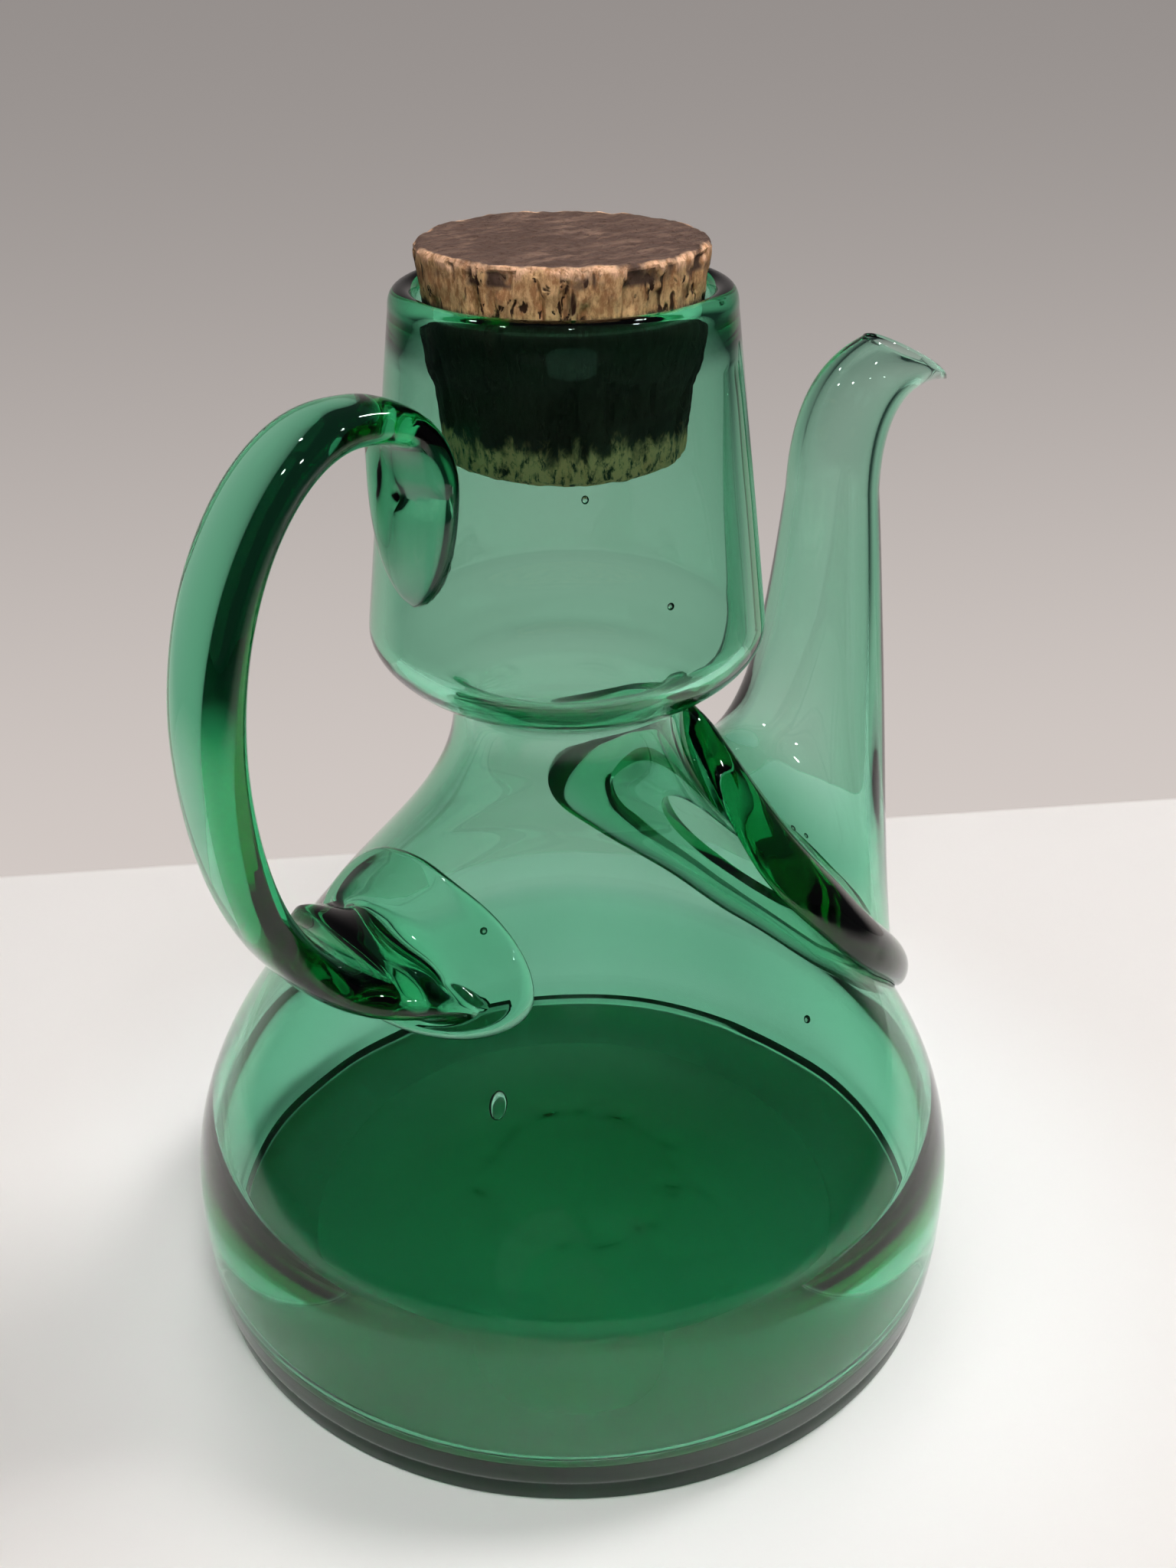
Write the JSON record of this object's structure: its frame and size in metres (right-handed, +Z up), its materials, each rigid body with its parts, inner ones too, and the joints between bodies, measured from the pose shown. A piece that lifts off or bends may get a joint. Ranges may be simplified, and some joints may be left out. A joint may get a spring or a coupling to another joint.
{
  "type": "carafe",
  "caption": "Hand-blown green glass carafe with a bell-shaped body, wide collar, curved pouring spout, strap handle and a tapered cork stopper",
  "frame": {"origin": "on the surface the carafe stands on, under the middle of its bounding box", "axes": "+Z up, +X towards the spout, -X towards the handle"},
  "size_m": [0.1788, 0.156, 0.2085],
  "materials": {
    "green_glass": "glossy, transparent, small bubbles",
    "bark_cork": "rough natural cork"
  },
  "bodies": {
    "glass": {"vessel": "green_glass", "spout": "green_glass", "handle": "green_glass"},
    "cork": {"cork_stopper": "bark_cork"}
  },
  "joints": [
    {"name": "cork_pull", "type": "slide", "parent": "glass", "child": "cork", "axis": [0, 0, 1], "range_m": [0, 0.045]}
  ]
}
